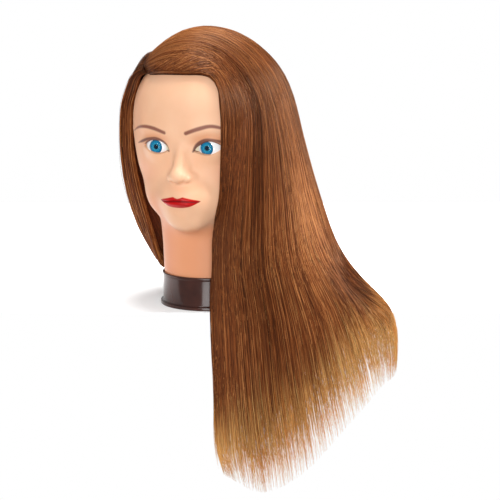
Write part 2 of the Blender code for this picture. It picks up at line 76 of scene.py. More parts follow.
def level(value):
    """A plain number as a colour, for the ramps and mixes that carry one."""
    return (value, value, value, 1.0)


def make_mesh(name, points, faces, smooth=True):
    """A mesh object from points in millimetres and an array of quads or triangles."""
    points = np.asarray(points, np.float64).reshape(-1, 3) * MM
    faces = np.asarray(faces, np.int32)
    sides = faces.shape[1]
    mesh = bpy.data.meshes.new(name)
    mesh.vertices.add(len(points))
    mesh.vertices.foreach_set("co", points.astype(np.float32).ravel())
    mesh.loops.add(faces.size)
    mesh.loops.foreach_set("vertex_index", faces.ravel())
    mesh.polygons.add(len(faces))
    mesh.polygons.foreach_set("loop_start", np.arange(0, faces.size, sides, dtype=np.int32))
    mesh.update(calc_edges=True)
    if smooth:
        mesh.shade_smooth()
    ob = bpy.data.objects.new(name, mesh)
    bpy.context.scene.collection.objects.link(ob)
    return ob


def grid_faces(rows, columns, wrap=False):
    """Quads joining a grid of points, row by row. With wrap the last column joins the first."""
    r = np.arange(rows - 1)[:, None] * columns
    c = np.arange(columns if wrap else columns - 1)[None, :]
    d = (c + 1) % columns
    return np.stack([r + c, r + columns + c, r + columns + d, r + d], -1).reshape(-1, 4)


def tag(ob, name, values):
    """Stores one number per vertex, for the materials to read."""
    layer = ob.data.attributes.new(name, "FLOAT", "POINT")
    layer.data.foreach_set("value", np.asarray(values, np.float32).ravel())


def lay_uv(ob, u, v):
    """Lays the mesh out on the OFBake map, from one (u, v) per vertex."""
    corners = np.empty(len(ob.data.loops), np.int32)
    ob.data.loops.foreach_get("vertex_index", corners)
    layer = ob.data.uv_layers.new(name="OFBake")
    layer.data.foreach_set("uv", np.stack([u[corners], v[corners]], -1).astype(np.float32).ravel())


def finish_piece(ob, slot, *nodes):
    """Tells the frame what the piece moves with and hides the nodes it stands for; the slot is not used."""
    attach(ob, BODY)
    if nodes:
        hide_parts(*nodes)
    return ob


MIX_A, MIX_B, MIX_RESULT = 6, 7, 2  # the colour sockets of a mix node, whose names repeat


class Nodes:
    """A material's node tree, with short ways to add and join nodes."""

    def __init__(self, name):
        self.material = bpy.data.materials.new(name)
        self.material.use_nodes = True
        self.tree = self.material.node_tree
        self.shader = self.tree.nodes["Principled BSDF"]

    def add(self, kind, inputs=None, **settings):
        node = self.tree.nodes.new(kind)
        for key, value in settings.items():
            setattr(node, key, value)
        for key, value in (inputs or {}).items():
            self.feed(node.inputs[key], value)
        return node

    def feed(self, socket, value):
        if isinstance(value, bpy.types.NodeSocket):
            self.tree.links.new(value, socket)
        else:
            socket.default_value = value

    def set(self, **values):
        for key, value in values.items():
            self.feed(self.shader.inputs[key.replace("_", " ")], value)

    def attribute(self, name):
        return self.add("ShaderNodeAttribute", attribute_name=name).outputs["Fac"]

    def noise(self, scale, detail, roughness, vector):
        node = self.add("ShaderNodeTexNoise", {"Scale": scale, "Detail": detail, "Roughness": roughness,
                                               "Vector": vector})
        return node.outputs["Fac"]

    def vector(self, x, y, z=0.0):
        """A vector of three numbers, for a noise that runs in directions of its own."""
        return self.add("ShaderNodeCombineXYZ", {"X": x, "Y": y, "Z": z}).outputs[0]

    def math(self, operation, a, b=0.5, c=None):
        node = self.add("ShaderNodeMath", {0: a, 1: b}, operation=operation)
        if c is not None:
            self.feed(node.inputs[2], c)
        return node.outputs[0]

    def mix(self, factor, a, b):
        node = self.add("ShaderNodeMix", data_type="RGBA")
        self.feed(node.inputs["Factor"], factor)
        self.feed(node.inputs[MIX_A], a)
        self.feed(node.inputs[MIX_B], b)
        return node.outputs[MIX_RESULT]

    def ramp(self, value, *stops):
        node = self.add("ShaderNodeValToRGB", {"Fac": value})
        elements = node.color_ramp.elements
        while len(elements) < len(stops):
            elements.new(0.5)
        for element, (place, colour) in zip(elements, stops):
            element.position, element.color = place, colour
        return node.outputs["Color"]

    def where(self):
        return self.add("ShaderNodeTexCoord").outputs["Object"]

    def mottled(self, scale, detail, dark, light, high=0.7, roughness=0.5):
        """A colour that wanders between a darker and a lighter one."""
        wandering = self.noise(scale, detail, roughness, self.where())
        return self.ramp(wandering, (0.3, srgb(*dark)), (high, srgb(*light)))

    def bump(self, height, distance, strength):
        node = self.add("ShaderNodeBump", {"Height": height, "Distance": distance, "Strength": strength})
        self.feed(self.shader.inputs["Normal"], node.outputs["Normal"])


# ---------------- shape of the head

EYE = np.array([28.6, -63.2, 181.0])  # centre of the left eyeball
EYE_R = 17.0
PIT_R = 12.8  # the socket's floor, round the same centre
NECK_R, NECK_FOOT, SKIN = 49.3, 6.6, 3.6
LIP_HALF = 22.4
IN_CORNER, OUT_CORNER = np.array([15.8, 178.2]), np.array([42.2, 182.6])


def ellipsoid(p, centre, radii):
    q = (p - np.array(centre, float)) / np.array(radii, float)
    near, steep = length(q), length(q / np.array(radii, float))
    return near * (near - 1) / np.maximum(steep, 1e-9)


def rod(p, start, end, r_start, r_end):
    a, b = np.array(start, float), np.array(end, float)
    along = np.clip(((p - a) @ (b - a)) / ((b - a) @ (b - a)), 0, 1)
    return length(p - a - along[..., None] * (b - a)) - (r_start + (r_end - r_start) * along)


def join(a, b, soft):
    h = np.clip(0.5 + 0.5 * (b - a) / soft, 0, 1)
    return b + (a - b) * h - soft * h * (1 - h)


def carve(a, b, soft):
    return -join(-a, b, soft)


def half_of(p):
    """The head is the same on both sides, so only the left side is described."""
    m = p.copy()
    m[..., 0] = np.abs(m[..., 0])
    return m


def skull(p):
    """Distance to the plain mass of the head and neck."""
    m = half_of(p)
    d = ellipsoid(m, (0, 3, 214), (77, 91, 79))
    d = join(d, ellipsoid(m, (0, -26, 220), (62, 57, 52)), 16)       # forehead
    d = join(d, ellipsoid(m, (0, -25, 185), (72, 57, 91)), 14)       # face
    d = join(d, ellipsoid(m, (0, -38, 127), (54, 43, 36)), 14)       # jaw
    d = join(d, ellipsoid(m, (0, -64, 105), (20, 18, 16)), 14)       # chin
    lean = -0.10 * np.clip(m[..., 2] - 36, 0, 60)
    flare = 0.0012 * np.clip(m[..., 2] - 60, 0, 200) ** 2
    neck = np.hypot(m[..., 0], m[..., 1] - lean) - NECK_R - flare
    return join(d, np.maximum(neck, m[..., 2] - 190), 12)


def almond(x, z):
    """Distance, seen from the front, to the outline of the left eye's opening."""
    middle, chord = (IN_CORNER + OUT_CORNER) / 2, OUT_CORNER - IN_CORNER
    half = np.hypot(*chord) / 2
    up = np.array([-chord[1], chord[0]]) / (2 * half)
    found = -1e9
    for rise, way in ((7.2, up), (6.2, -up)):
        radius = (half**2 + rise**2) / (2 * rise)
        centre = middle - way * (radius - rise)
        found = np.maximum(found, np.hypot(x - centre[0], z - centre[1]) - radius)
    return found


def lip_lines(x):
    """Heights of the upper outline, the seam and the lower outline of the lips."""
    t = np.clip(np.abs(x) / LIP_HALF, 0, 1)
    seam = 124.7 + 0.5 * np.cos(t * np.pi * 1.5)
    bow = 0.52 + 0.48 * np.clip(t / 0.24, 0, 1) ** 1.5
    upper = seam + 5.2 * (1 - t) ** 0.62 * bow * (1 + 0.25 * t)
    lower = seam - 7.4 * (1 - t**1.9) ** 1.15
    return upper, seam, lower


def lip_swell(x, z):
    upper, seam, lower = lip_lines(x)
    top = np.clip((z - seam) / np.maximum(upper - seam, 0.2), 0, 1)
    low = np.clip((seam - z) / np.maximum(seam - lower, 0.2), 0, 1)
    fall = 1 - np.clip(np.abs(x) / LIP_HALF, 0, 1) ** 2
    rise = np.where(z > seam, np.sin(np.pi * top**0.8) * 1.5, np.sin(np.pi * low**0.75) * 2.1)
    return rise * fall - 0.9 * hump(z, seam, 0.9) * fall


def face(p):
    """Distance to the head with its features."""
    m = half_of(p)
    d = skull(p)
    d = join(d, ellipsoid(m, (75, 6, 172), (7, 12, 25)), 4)           # ear
    d = carve(d, ellipsoid(m, (27, -97, 183), (15, 13, 10)), 12)      # orbit
    d = join(d, rod(m, (12, -76.5, 199), (40, -69, 203), 7, 6), 12)   # brow
    d = join(d, ellipsoid(m, (0, -72, 127), (26, 21, 19)), 12)        # round of the mouth
    nose = rod(m, (0, -74, 198), (0, -93.2, 156), 4.4, 5.0)
    nose = join(nose, rod(m, (0, -70, 192), (0, -82, 153), 6.0, 10.0), 6)
    nose = join(nose, rod(m, (0, -94.8, 152.0), (0, -80, 152), 7.4, 9.0), 4)
    nose = join(nose, rod(m, (8.2, -89.0, 149.6), (9.0, -78, 149.6), 4.6, 5.4), 3)
    d = join(d, nose, 6)
    d = carve(d, ellipsoid(m, (5.2, -92.5, 143.6), (2.6, 4.4, 2.4)), 1.5)    # nostril
    depth = length(m - EYE) - EYE_R
    d = join(d, depth - 1.6, 5)                                       # lids
    opening = almond(m[..., 0], m[..., 2]) - 0.5 * np.clip(depth, -1, 4) + 0.4
    opening = np.maximum(np.maximum(opening, m[..., 1] - EYE[1]), PIT_R - EYE_R - depth)
    d = carve(d, opening, 0.8)
    d = d - lip_swell(m[..., 0], m[..., 2]) * np.clip((-60 - m[..., 1]) / 10, 0, 1)
    d = carve(d, rod(m, (0, -97.5, 132), (0, -95.0, 142), 1.8, 1.6), 3.5)    # groove under the nose
    return carve(d, ellipsoid(m, (0, -96, 112.5), (14, 6.0, 4.5)), 8)


def inside(p):
    """Distance to the hollow: an even wall, thick at the throat and round the eyes."""
    z = p[..., 2]
    throat = (-38 - 1.6 * np.clip(z - 92, 0, None) - 0.4 * np.clip(76 - z, 0, None) - p[..., 1]) / 1.9
    eyes = EYE_R - length(half_of(p) - EYE)
    return np.maximum(np.maximum(skull(p) + SKIN + 1.2, throat), eyes)


# Height on the face, elevation of the ray through it, height the ray starts from.
AIM = np.array([
    (4, 0, 4), (50, 0, 50), (66, -4, 70), (80, -13, 92), (92, -19, 119), (110, -20, 141), (125, -23, 162),
    (144, -26, 184), (155, -21, 189), (181, -11, 197), (202, 1, 200), (225, 14, 204), (256, 38, 205),
    (330, 90, 205)])
AIM_PLACES, AIM_WINDOW = 654, 25  # the table is evened out over this many places by a window this wide
FARTHEST = 135  # no ray is longer than this
CAUTION = 0.8  # of each step along a ray, because the distances are not exact
ROUGH_TURNS, ROUGH_HEIGHTS = 121, 90  # rays of the first, rough answer


def rays(turns, heights):
    """Rays from inside the head, by turn from the front in degrees and by height on the face."""
    fine = np.linspace(AIM[0, 0], AIM[-1, 0], AIM_PLACES)
    kernel = np.hanning(AIM_WINDOW) / np.hanning(AIM_WINDOW).sum()
    eased = []
    for column in (1, 2):
        value = np.interp(fine, AIM[:, 0], AIM[:, column])
        value = np.pad(value, AIM_WINDOW // 2, mode="reflect", reflect_type="odd")
        value = np.convolve(value, kernel, "valid")
        eased.append(np.interp(heights, fine, value))
    lift, start = np.radians(eased[0])[:, None], eased[1]
    turn = np.radians(turns)[None, :]
    way = np.stack([np.sin(turn) * np.cos(lift), -np.cos(turn) * np.cos(lift), np.sin(lift) + 0 * turn], -1)
    origin = np.zeros_like(way)
    origin[..., 1] = np.interp(start, [4, 50, 110, 205], [0, -2, -10, -8])[:, None]
    origin[..., 2] = start[:, None]
    return origin, way


def exits(origin, way, shape, reach=4.0, steps=60):
    """Where rays starting at reach leave the shape."""
    reach = np.broadcast_to(reach, origin.shape[:-1])
    for _ in range(steps):
        reach = np.clip(reach - shape(origin + way * reach[..., None]) * CAUTION, 0, FARTHEST)
    return reach


def stops(*marks):
    """Values from mark to mark, each mark giving where it is and the step that follows it."""
    out = []
    for (low, step), (high, _) in zip(marks[:-1], marks[1:]):
        count = max(1, round(abs(high - low) / step))
        out.extend(low + (high - low) * k / count for k in range(count))
    return np.array(out + [marks[-1][0]])


def coarse_then_fine(turns, heights):
    """The rings of the face: found roughly first, then followed from just inside that answer."""
    rough_turns = np.linspace(-180, 180, ROUGH_TURNS)
    rough_heights = np.linspace(heights[0], heights[-1], ROUGH_HEIGHTS)
    rough = exits(*rays(rough_turns, rough_heights), face)
    row = np.interp(heights, rough_heights[::-1], np.arange(ROUGH_HEIGHTS)[::-1])
    column = np.interp(turns, rough_turns, np.arange(ROUGH_TURNS))
    r0 = np.floor(row).astype(int).clip(0, ROUGH_HEIGHTS - 2)
    c0 = np.floor(column).astype(int).clip(0, ROUGH_TURNS - 2)
    dr, dc = (row - r0)[:, None], (column - c0)[None, :]
    guess = (rough[r0][:, c0] * (1 - dr) * (1 - dc) + rough[r0 + 1][:, c0] * dr * (1 - dc)
             + rough[r0][:, c0 + 1] * (1 - dr) * dc + rough[r0 + 1][:, c0 + 1] * dr * dc)
    origin, way = rays(turns, heights)
    reach = exits(origin, way, face, np.minimum(guess - 4, guess * 0.93), steps=34)
    return origin + way * reach[..., None]


def soft_step(low, high, value):
    t = np.clip((value - low) / (high - low), 0, 1)
    return t * t * (3 - 2 * t)


def stroke(x, z, points, widths, steps=24):
    """Signed distance to a painted stroke through the points, from its half widths at even steps along it."""
    line = smooth_line(points, steps)
    half = np.interp(np.linspace(0, 1, steps), np.linspace(0, 1, len(widths)), widths)
    best = np.full(x.shape, 1e9)
    for a, b, w0, w1 in zip(line[:-1], line[1:], half[:-1], half[1:]):
        step = b - a
        t = np.clip(((x - a[0]) * step[0] + (z - a[1]) * step[1]) / (step @ step), 0, 1)
        best = np.minimum(best, np.hypot(x - a[0] - t * step[0], z - a[1] - t * step[1]) - w0 - (w1 - w0) * t)
    return best


def smooth_line(points, count, fineness=24):
    """A smooth curve through the points, sampled at equal steps along its length."""
    points = np.asarray(points, float)
    ends = np.vstack([2 * points[0] - points[1], points, 2 * points[-1] - points[-2]])
    t = np.linspace(0, 1, fineness)[:-1, None]
    pieces = [between(*ends[k:k + 4], t) for k in range(len(ends) - 3)]
    curve = np.vstack(pieces + [points[-1:]])
    run = np.concatenate([[0], np.cumsum(length(np.diff(curve, axis=0)))])
    wanted = np.linspace(0, run[-1], count)
    return np.stack([np.interp(wanted, run, curve[:, k]) for k in range(points.shape[1])], -1)


def build_head():
    side = stops((0, 0.5), (7, 0.35), (33, 0.5), (50, 1.2), (70, 3), (180, 1))
    turns = np.concatenate([-side[:0:-1], side[:-1]])
    heights = stops((330, 3), (256, 2.4), (212, 0.8), (196, 0.36), (166, 0.6), (134, 0.36), (114, 0.8),
                    (86, 2.5), (34, 2.5), (NECK_FOOT, 1))
    outer = coarse_then_fine(turns, heights)
    outer[-1, :, 2] = NECK_FOOT
    hollow_heights = stops((NECK_FOOT, 9), (70, 7), (250, 10), (322, 1))
    origin, way = rays(turns, hollow_heights)
    hollow = origin + way * exits(origin, way, inside)[..., None]
    hollow[0, :, 2] = NECK_FOOT
    rings = np.concatenate([outer, hollow])
    rows, columns = rings.shape[:2]
    poles = [(0, ring[:, 1].mean(), ring[:, 2].max() + 0.05) for ring in (outer[0], hollow[-1])]
    points = np.concatenate([rings.reshape(-1, 3), poles])
    quads = grid_faces(rows, columns, wrap=True)[:, ::-1]
    k = np.arange(columns)
    after, last, pole = np.roll(k, -1), (rows - 1) * columns, np.full(columns, rows * columns)
    caps = np.concatenate([np.stack([k, after, pole], -1), np.stack([last + after, last + k, pole + 1], -1)])
    faces = np.concatenate([quads[:, [0, 1, 2]], quads[:, [0, 2, 3]], caps])
    ob = make_mesh("head", points, faces)
    paint(ob, points)
    return finish_piece(ob, "vinyl_skin", "head_skin")


def paint(ob, points):
    """How much of each paint, painted shade and painted light there is at each point of the head."""
    x, y, z = points.T
    front = soft_step(-30, -50, y)
    upper, seam, lower = lip_lines(x)
    lips = np.maximum(z - upper, lower - z) + 60 * np.clip(np.abs(x) / LIP_HALF - 1, 0, 1)
    tag(ob, "lips", soft_step(0.45, -0.35, lips) * front)
    # painted shade: the lips darkened along the seam, in the crease where they meet
    tag(ob, "seam", hump(z, seam, 0.8) * (np.abs(x) < LIP_HALF + 1.5) * front)
    brow = np.minimum(stroke(x, z, [(-16.5, 196), (-30, 200), (-43, 201.3), (-55, 199), (-65, 194.5)],
                             [1.8, 2.0, 1.8, 1.2, 0.4]),
                      stroke(x, z, [(8, 196), (22, 201), (36, 203.4), (56, 197.5)], [1.9, 2.1, 1.7, 0.5]))
    tag(ob, "brow", soft_step(0.9, -0.9, brow) * front)
    m = half_of(points)
    opening = almond(m[:, 0], m[:, 2])
    upper_lid = soft_step(176.5, 179.5, z - 0.166 * (m[:, 0] - 29))
    lash_line = [(13.6, 176.6), (16.5, 182.5), (22, 187.3), (29, 189.6), (38, 188.4), (46, 186), (57, 182.2)]
    band = stroke(m[:, 0], z, lash_line, [0.9, 1.5, 1.3, 1.2, 1.5, 1.5, 0.3])
    liner = np.minimum(np.where(upper_lid > 0.5, opening - 1.4, 9.0), band)
    tag(ob, "liner", soft_step(0.9, -0.8, liner) * front)
    low_line = soft_step(1.8, 0.6, np.abs(opening - 0.3)) * (1 - upper_lid) * soft_step(14, 30, m[:, 0])
    tag(ob, "low_liner", low_line * front)
    from_lid = np.hypot((m[:, 0] - 31) / 25, (z - 188) / 13)
    tag(ob, "eye_shadow", soft_step(1.0, 0.15, from_lid) * upper_lid * front)
    # painted light: a pink cast of the light, painted on the cheeks towards the sides of the face
    from_cheek = np.hypot((m[:, 0] - 47) / 26, (z - 152) / 24)
    tag(ob, "pink_cheek_light", soft_step(1.0, 0.0, from_cheek) * front)
    # painted shade: darker towards the sides of the face, and on the right jaw where the hair shades it
    right_jaw_shade = soft_step(16, 34, -x) * soft_step(142, 115, z)
    tag(ob, "side_shade", np.maximum(0.35 * soft_step(34, 56, np.abs(x)), right_jaw_shade))
    # the bare neck's own deeper tone, and painted shade under the jaw
    tag(ob, "neck", soft_step(103, 86, z - 0.35 * np.clip(y + 62, -20, 40)) * soft_step(-110, -40, -y))


# ---------------- eyes, collar

GAZE_RIGHT, GAZE_DOWN = math.radians(5.4), math.radians(3.4)  # where the eyes look, from straight ahead
GAZE = Euler((GAZE_DOWN, 0, -GAZE_RIGHT)).to_matrix()
IRIS_R, PUPIL_R, CORNEA_R = 7.2, 2.5, 7.5
EYE_HOLLOW_R, EYE_CUT = 14.6, 66  # inner radius of the eyeball's shell, degrees round to its cut edge
SEAT_DEPTH, SEAT_T, CORNEA_T = 1.6, 0.5, 0.35  # of the flat the discs lie on, its wall and the dome's
CORNEA_RISE = 0.9  # of the clear dome over the ball
FIT = 0.1  # gap round the dome and under the discs
IRIS_TOP, PUPIL_TOP, RIM_TOP = 0.62, 0.5, 0.4  # heights of the discs over the seat


def turned(name, profile, sides, place=(0, 0, 0), forward=False):
    """A solid turned round an axis from a closed profile of (radius, height) points in millimetres.
    The axis is Z, or with forward the line of sight. A radius of 0 makes a pole."""
    ring = np.arange(sides) * 2 * math.pi / sides
    points, starts, faces = [], [], []
    for r, h in profile:
        starts.append(len(points))
        points += [(0, 0, h)] if r == 0 else [(r * math.cos(a), r * math.sin(a), h) for a in ring]
    for k in range(len(profile)):
        after = (k + 1) % len(profile)
        a, b = starts[k], starts[after]
        pole_a, pole_b = profile[k][0] == 0, profile[after][0] == 0
        for j in range(sides):
            i = (j + 1) % sides
            if pole_a and pole_b:
                break
            if pole_a:
                faces.append((a, b + i, b + j))
            elif pole_b:
                faces.append((a + j, a + i, b))
            else:
                faces += [(a + j, a + i, b + i), (a + j, b + i, b + j)]
    points = np.array(points, float)
    if forward:
        points = np.stack([points[:, 0], -points[:, 2], points[:, 1]], -1) @ np.array(GAZE).T
    return make_mesh(name, points + np.array(place, float), faces)


def arc(radius, start, end, count):
    """Points (radius, height) on a ball of this radius between two angles from its front, in degrees."""
    turn = np.radians(np.linspace(start, end, count))
    return [(radius * math.sin(t), radius * math.cos(t)) for t in turn]


def build_eyes():
    rim = math.degrees(math.asin((CORNEA_R + FIT) / EYE_R))
    seat = math.sqrt(EYE_R**2 - CORNEA_R**2) - SEAT_DEPTH
    back, foot, top = seat - SEAT_T, seat + FIT, seat + IRIS_TOP
    white = arc(EYE_R, rim, EYE_CUT, 40) + arc(EYE_HOLLOW_R, EYE_CUT, rim - 4, 24)
    white += [(2.0, back), (0, back), (0, seat), (2.0, seat), (CORNEA_R + FIT, seat)]
    iris_places = np.linspace(PUPIL_R + 0.4, IRIS_R - 0.3, 9)
    iris_arch = np.sin(math.pi * (iris_places - PUPIL_R) / (IRIS_R - PUPIL_R)) ** 0.8
    iris_ring = [(PUPIL_R + 0.05, foot), (PUPIL_R + 0.05, top)]
    iris_ring += list(zip(iris_places, top + 0.25 * iris_arch))
    iris_ring += [(IRIS_R, seat + PUPIL_TOP), (IRIS_R, foot)]
    pupil_disc = [(0, foot), (0, seat + PUPIL_TOP), (PUPIL_R - 0.3, seat + PUPIL_TOP),
                  (PUPIL_R, seat + RIM_TOP), (PUPIL_R, foot)]
    bulge = [(r, math.sqrt(EYE_R**2 - r * r) + CORNEA_RISE * (1 - (r / CORNEA_R) ** 2))
             for r in np.linspace(0, CORNEA_R, 22)]
    dome = bulge + [(r, h - CORNEA_T) for r, h in bulge[::-1]]
    pieces = []
    for side, word in ((1, "left"), (-1, "right")):
        place = (side * EYE[0], EYE[1], EYE[2])
        for name, profile, sides, slot, node in (("eyeball_", white, 96, "eye_white", "eye_"),
                                                 ("iris_disc_", iris_ring, 96, "iris_blue", "iris_"),
                                                 ("pupil_disc_", pupil_disc, 48, "pupil_black", "pupil_"),
                                                 ("cornea_dome_", dome, 64, "cornea_clear", "cornea_")):
            ob = turned(name + word, profile, sides, place, forward=True)
            pieces.append(finish_piece(ob, slot, node + word))
    return pieces


def rounded(corners, radius, steps=5):
    """A closed profile with each corner rounded off."""
    corners = np.array(corners, float)
    out = []
    for k, corner in enumerate(corners):
        before, after = corners[k - 1] - corner, corners[(k + 1) % len(corners)] - corner
        cut = min(radius, 0.45 * np.hypot(*before), 0.45 * np.hypot(*after))
        a, b = corner + before / np.hypot(*before) * cut, corner + after / np.hypot(*after) * cut
        for t in np.linspace(0, 1, steps):
            out.append(tuple(a * (1 - t) ** 2 + 2 * corner * t * (1 - t) + b * t * t))
    return out


def build_collar():
    """The sleeve round the neck with its rolled top edge and thin foot."""
    sleeve = [(21.0, 0), (21.0, 3.0), (49.7, 3.0), (49.7, 34.6), (50.1, 36.0), (51.2, 36.0), (51.7, 35.2),
              (51.7, 33.6), (51.1, 32.4), (50.9, 4.6), (51.6, 3.6), (53.8, 3.6), (53.8, 0)]
    ob = turned("collar", rounded(sleeve, 0.5), 160)
    return finish_piece(ob, "collar_plastic", "base_collar")


# ---------------- hair

# The parting runs back from the hairline on the head's right side (x, y).
PARTING = np.array([(-59, -74), (-55, -50), (-50, -24), (-46, 10), (-32, 40), (-14, 62)], float)
PARTING_HALF_W = 1.6
ROOT_LIFT = 9.5  # how far the hair stands off the head at the parting
OVER_COUNT = 9  # places of a guide on its way over the head
ROOT_SHARE = 0.12  # part of the length over which hair stands straight off the scalp
SCALP_CENTRE = np.array([0.0, 3.0, 205.0])
HAIR_ROOT_T, HAIR_BODY_T, HAIR_TIP_T = 8.0, 12.0, 3.0

# Guides from the front edge of the long curtain, round the back, to the front edge on the right side.
# Each has its place along the parting (0 front, 1 crown), how far its hair stands off the head,
# points it passes on the head, and points it hangs through.
GUIDES = [
    (0.00, 3.5, [(-33, -67.5, 255), (-7, -77, 256), (15, -76, 256), (28, -72, 255.5)],
     [(37.6, -75, 244), (41.8, -77.5, 231), (43.5, -78.5, 203), (44, -78.5, 176), (41.8, -76, 150),
      (38, -73, 122), (30.4, -70, 90), (29.6, -69, 57), (28, -70, 0), (30, -69, -70), (31, -65, -146),
      (39, -62, -180)]),
    (0.14, 9.5, [(0, -66, 285), (34, -62, 271)],
     [(64, -62, 225), (65, -68, 178), (62, -69, 125), (58, -68, 60), (63, -63, 0), (71, -61, -100),
      (81, -54, -198)]),
    (0.28, 11.0, [(30, -44, 282)],
     [(80, -44, 225), (85, -51, 178), (88, -55, 125), (92, -62, 60), (102, -53, 0), (113, -47, -90),
      (124, -37, -176)]),
    (0.40, 11.0, [(34, -26, 288)],
     [(87, -24, 225), (97, -26, 178), (107, -32, 125), (120, -42, 60), (142, -33, 0), (156, -26, -60),
      (168, -18, -124)]),
    (0.52, 11.0, [(36, -6, 290)],
     [(91, 0, 225), (103, -2, 178), (115, -8, 125), (139, -17, 60), (171, -12, 10), (189, -7, -32),
      (199, -2, -84)]),
    (0.64, 11.0, [(36, 14, 289)],
     [(90, 22, 225), (103, 24, 178), (121, 20, 125), (142, 24, 62), (153, 21, 38), (171, 17, 24),
      (194, 12, 13), (209, 7, 3), (216, 5, -20), (216, 7, -56)]),
    (0.76, 11.0, [(32, 36, 284)],
     [(82, 58, 225), (94, 56, 178), (110, 55, 125), (132, 56, 66), (148, 54, 34), (168, 50, 17),
      (186, 44, 8)]),
    (0.90, 11.0, [(20, 56, 280)],
     [(52, 88, 225), (66, 90, 178), (84, 88, 125), (104, 86, 72), (130, 80, 34), (158, 70, 15),
      (182, 58, 7)]),
    (1.00, 11.0, [(8, 70, 272)],
     [(6, 102, 225), (16, 104, 178), (34, 104, 125), (58, 104, 74), (92, 101, 34), (132, 90, 15),
      (168, 78, 7)]),
    (1.00, 11.0, [(-28, 76, 266)],
     [(-50, 92, 225), (-40, 97, 178), (-22, 98, 125), (6, 100, 74), (46, 110, 34), (92, 108, 15),
      (134, 100, 7)]),
    (0.78, 11.5, [(-52, 54, 268)],
     [(-84, 58, 225), (-79, 68, 178), (-63, 74, 125), (-36, 82, 74), (2, 100, 36), (50, 114, 16),
      (98, 114, 7)]),
    (0.40, 12.0, [(-66, 8, 268)],
     [(-94, 14, 225), (-95, 24, 178), (-86, 32, 125), (-66, 50, 78), (-40, 74, 42), (12, 104, 18),
      (62, 128, 7)]),
    (0.04, 12.0, [(-57, -51, 251), (-71, -43, 240)],
     [(-90, -34, 222), (-95, -27, 178), (-96.5, -19, 150), (-96, -13, 130), (-95.5, -4.5, 112),
      (-94, 6.5, 93), (-91.5, 18, 74), (-87.5, 34, 54), (-81, 52, 33.5), (-52, 78, 18), (-8, 104, 12),
      (34, 132, 8)]),
]
LEFT_GUIDES = 9  # guides whose roots are on the left of the parting
FULLNESS = (0.7, 1, 1, 0.9, 0.75, 0.44, 0.7, 0.9, 1, 0.9, 0.7, 0.8, 1.15)  # thickness at each guide
SECTIONS = ("front_curtain", "left_temple", "left_front", "left_side", "left_outer", "left_back", "back_left",
            "back_mid_left", "back_centre", "back_right", "right_back", "right_side")
SECTION_TONE = (0.42, 0.42, 0.48, 0.58, 0.54, 0.46, 0.48, 0.5, 0.5, 0.5, 0.54, 0.6)  # 0 is dark, 1 light
ALONG = 72  # places along each guide of the sheet
EASE_PLACES, EASE_ROUNDS, EASE_TO = 72, 8, 0.42  # rounding of each guide's bend off the head
S_STEP, V_STEP = 0.04, 0.012  # steps round and down the sheet over which its directions are taken


def head_drop(directions, lift):
    """Points on the head in these directions from the middle of the skull, raised by lift."""
    origin = np.broadcast_to(SCALP_CENTRE, directions.shape)
    way = unit(directions)
    return origin + way * exits(origin, way, lambda p: skull(p) - lift)[..., None]


def parting_point(along, side, lift):
    k = np.linspace(0, 1, len(PARTING))
    x = np.interp(along, k, PARTING[:, 0]) + side * (PARTING_HALF_W + 20 * max(0, along - 0.85))
    y = np.interp(along, k, PARTING[:, 1])
    near = np.array([x, y, 268.0])
    return head_drop((near - SCALP_CENTRE)[None], lift)[0]


def over_the_head(root, over, first, lift):
    """Points of a guide on its way over the head: it rises beside the parting, then settles to its lift."""
    path = smooth_line(np.vstack([root, over, first]), OVER_COUNT)
    ends = skull(path[[0, -1]])
    high = np.interp(np.linspace(0, 1, OVER_COUNT), [0, 0.25, 0.6, 1], [ends[0], 1.3 * lift, lift, ends[1]])
    return head_drop(path - SCALP_CENTRE, high)[:-1]


def eased(curve):
    """A guide with its bend from the head into the hanging part rounded off; the ends are kept."""
    share = np.linspace(0, 1, EASE_PLACES)[1:-1, None]
    amount = np.interp(share, [0.0, 0.06, EASE_TO, EASE_TO + 0.12], [0.3, 1, 1, 0])
    for _ in range(EASE_ROUNDS):
        curve[1:-1] += amount * (0.25 * curve[:-2] + 0.25 * curve[2:] - 0.5 * curve[1:-1])
    return curve


def guide_curves(count):
    curves = []
    for k, (along, lift, over, hang) in enumerate(GUIDES):
        root = parting_point(along, 1 if k < LEFT_GUIDES else -1, min(lift, ROOT_LIFT))
        curve = smooth_line(np.vstack([over_the_head(root, over, hang[0], lift), hang]), EASE_PLACES)
        curves.append(smooth_line(eased(curve) if k > 0 else curve, count))
    return np.array(curves)


CURVES = guide_curves(ALONG)
ENDS = np.concatenate([[2 * CURVES[0] - CURVES[1]], CURVES, [2 * CURVES[-1] - CURVES[-2]]])


def on_sheet(s, v):
    """Points on the hair's outer surface, s guides round from the curtain's edge and a share v down."""
    row = np.clip(v, 0, 1) * (ALONG - 1)
    low = np.minimum(row.astype(int), ALONG - 2)
    part = (row - low)[..., None]
    k = np.clip(s.astype(int), 0, len(CURVES) - 2)
    t = (s - k)[..., None]

    def across(j):
        return between(*(ENDS[k + n, j] for n in range(4)), t)
    return across(low) * (1 - part) + across(low + 1) * part


def frame_on_sheet(s, v):
    """Points on the outer surface with the directions across the strands and out of the hair."""
    here = on_sheet(s, v)
    side = unit(on_sheet(s + S_STEP, v) - on_sheet(s - S_STEP, v))
    down = on_sheet(s, v + V_STEP) - on_sheet(s, v - V_STEP)
    rooted = np.clip(1 - v / ROOT_SHARE, 0, 1)[..., None]
    out = unit(np.cross(down, side)) * (1 - rooted) + unit(here - SCALP_CENTRE) * rooted
    return here, side, unit(out)


def thickness(s, v):
    """Thickness of the hair under a point of the sheet."""
    full = np.interp(s, np.arange(len(FULLNESS)), FULLNESS)
    return np.interp(v, [0, 0.08, 0.3], [5.0, HAIR_ROOT_T, 0]) + full * np.interp(
        v, [0.08, 0.3, 0.5, 0.75, 1.0], [0, HAIR_ROOT_T + 1, HAIR_BODY_T, 0.7 * HAIR_BODY_T, HAIR_TIP_T])


FAR_FROM_SKIN = 14  # points farther out than this need no check


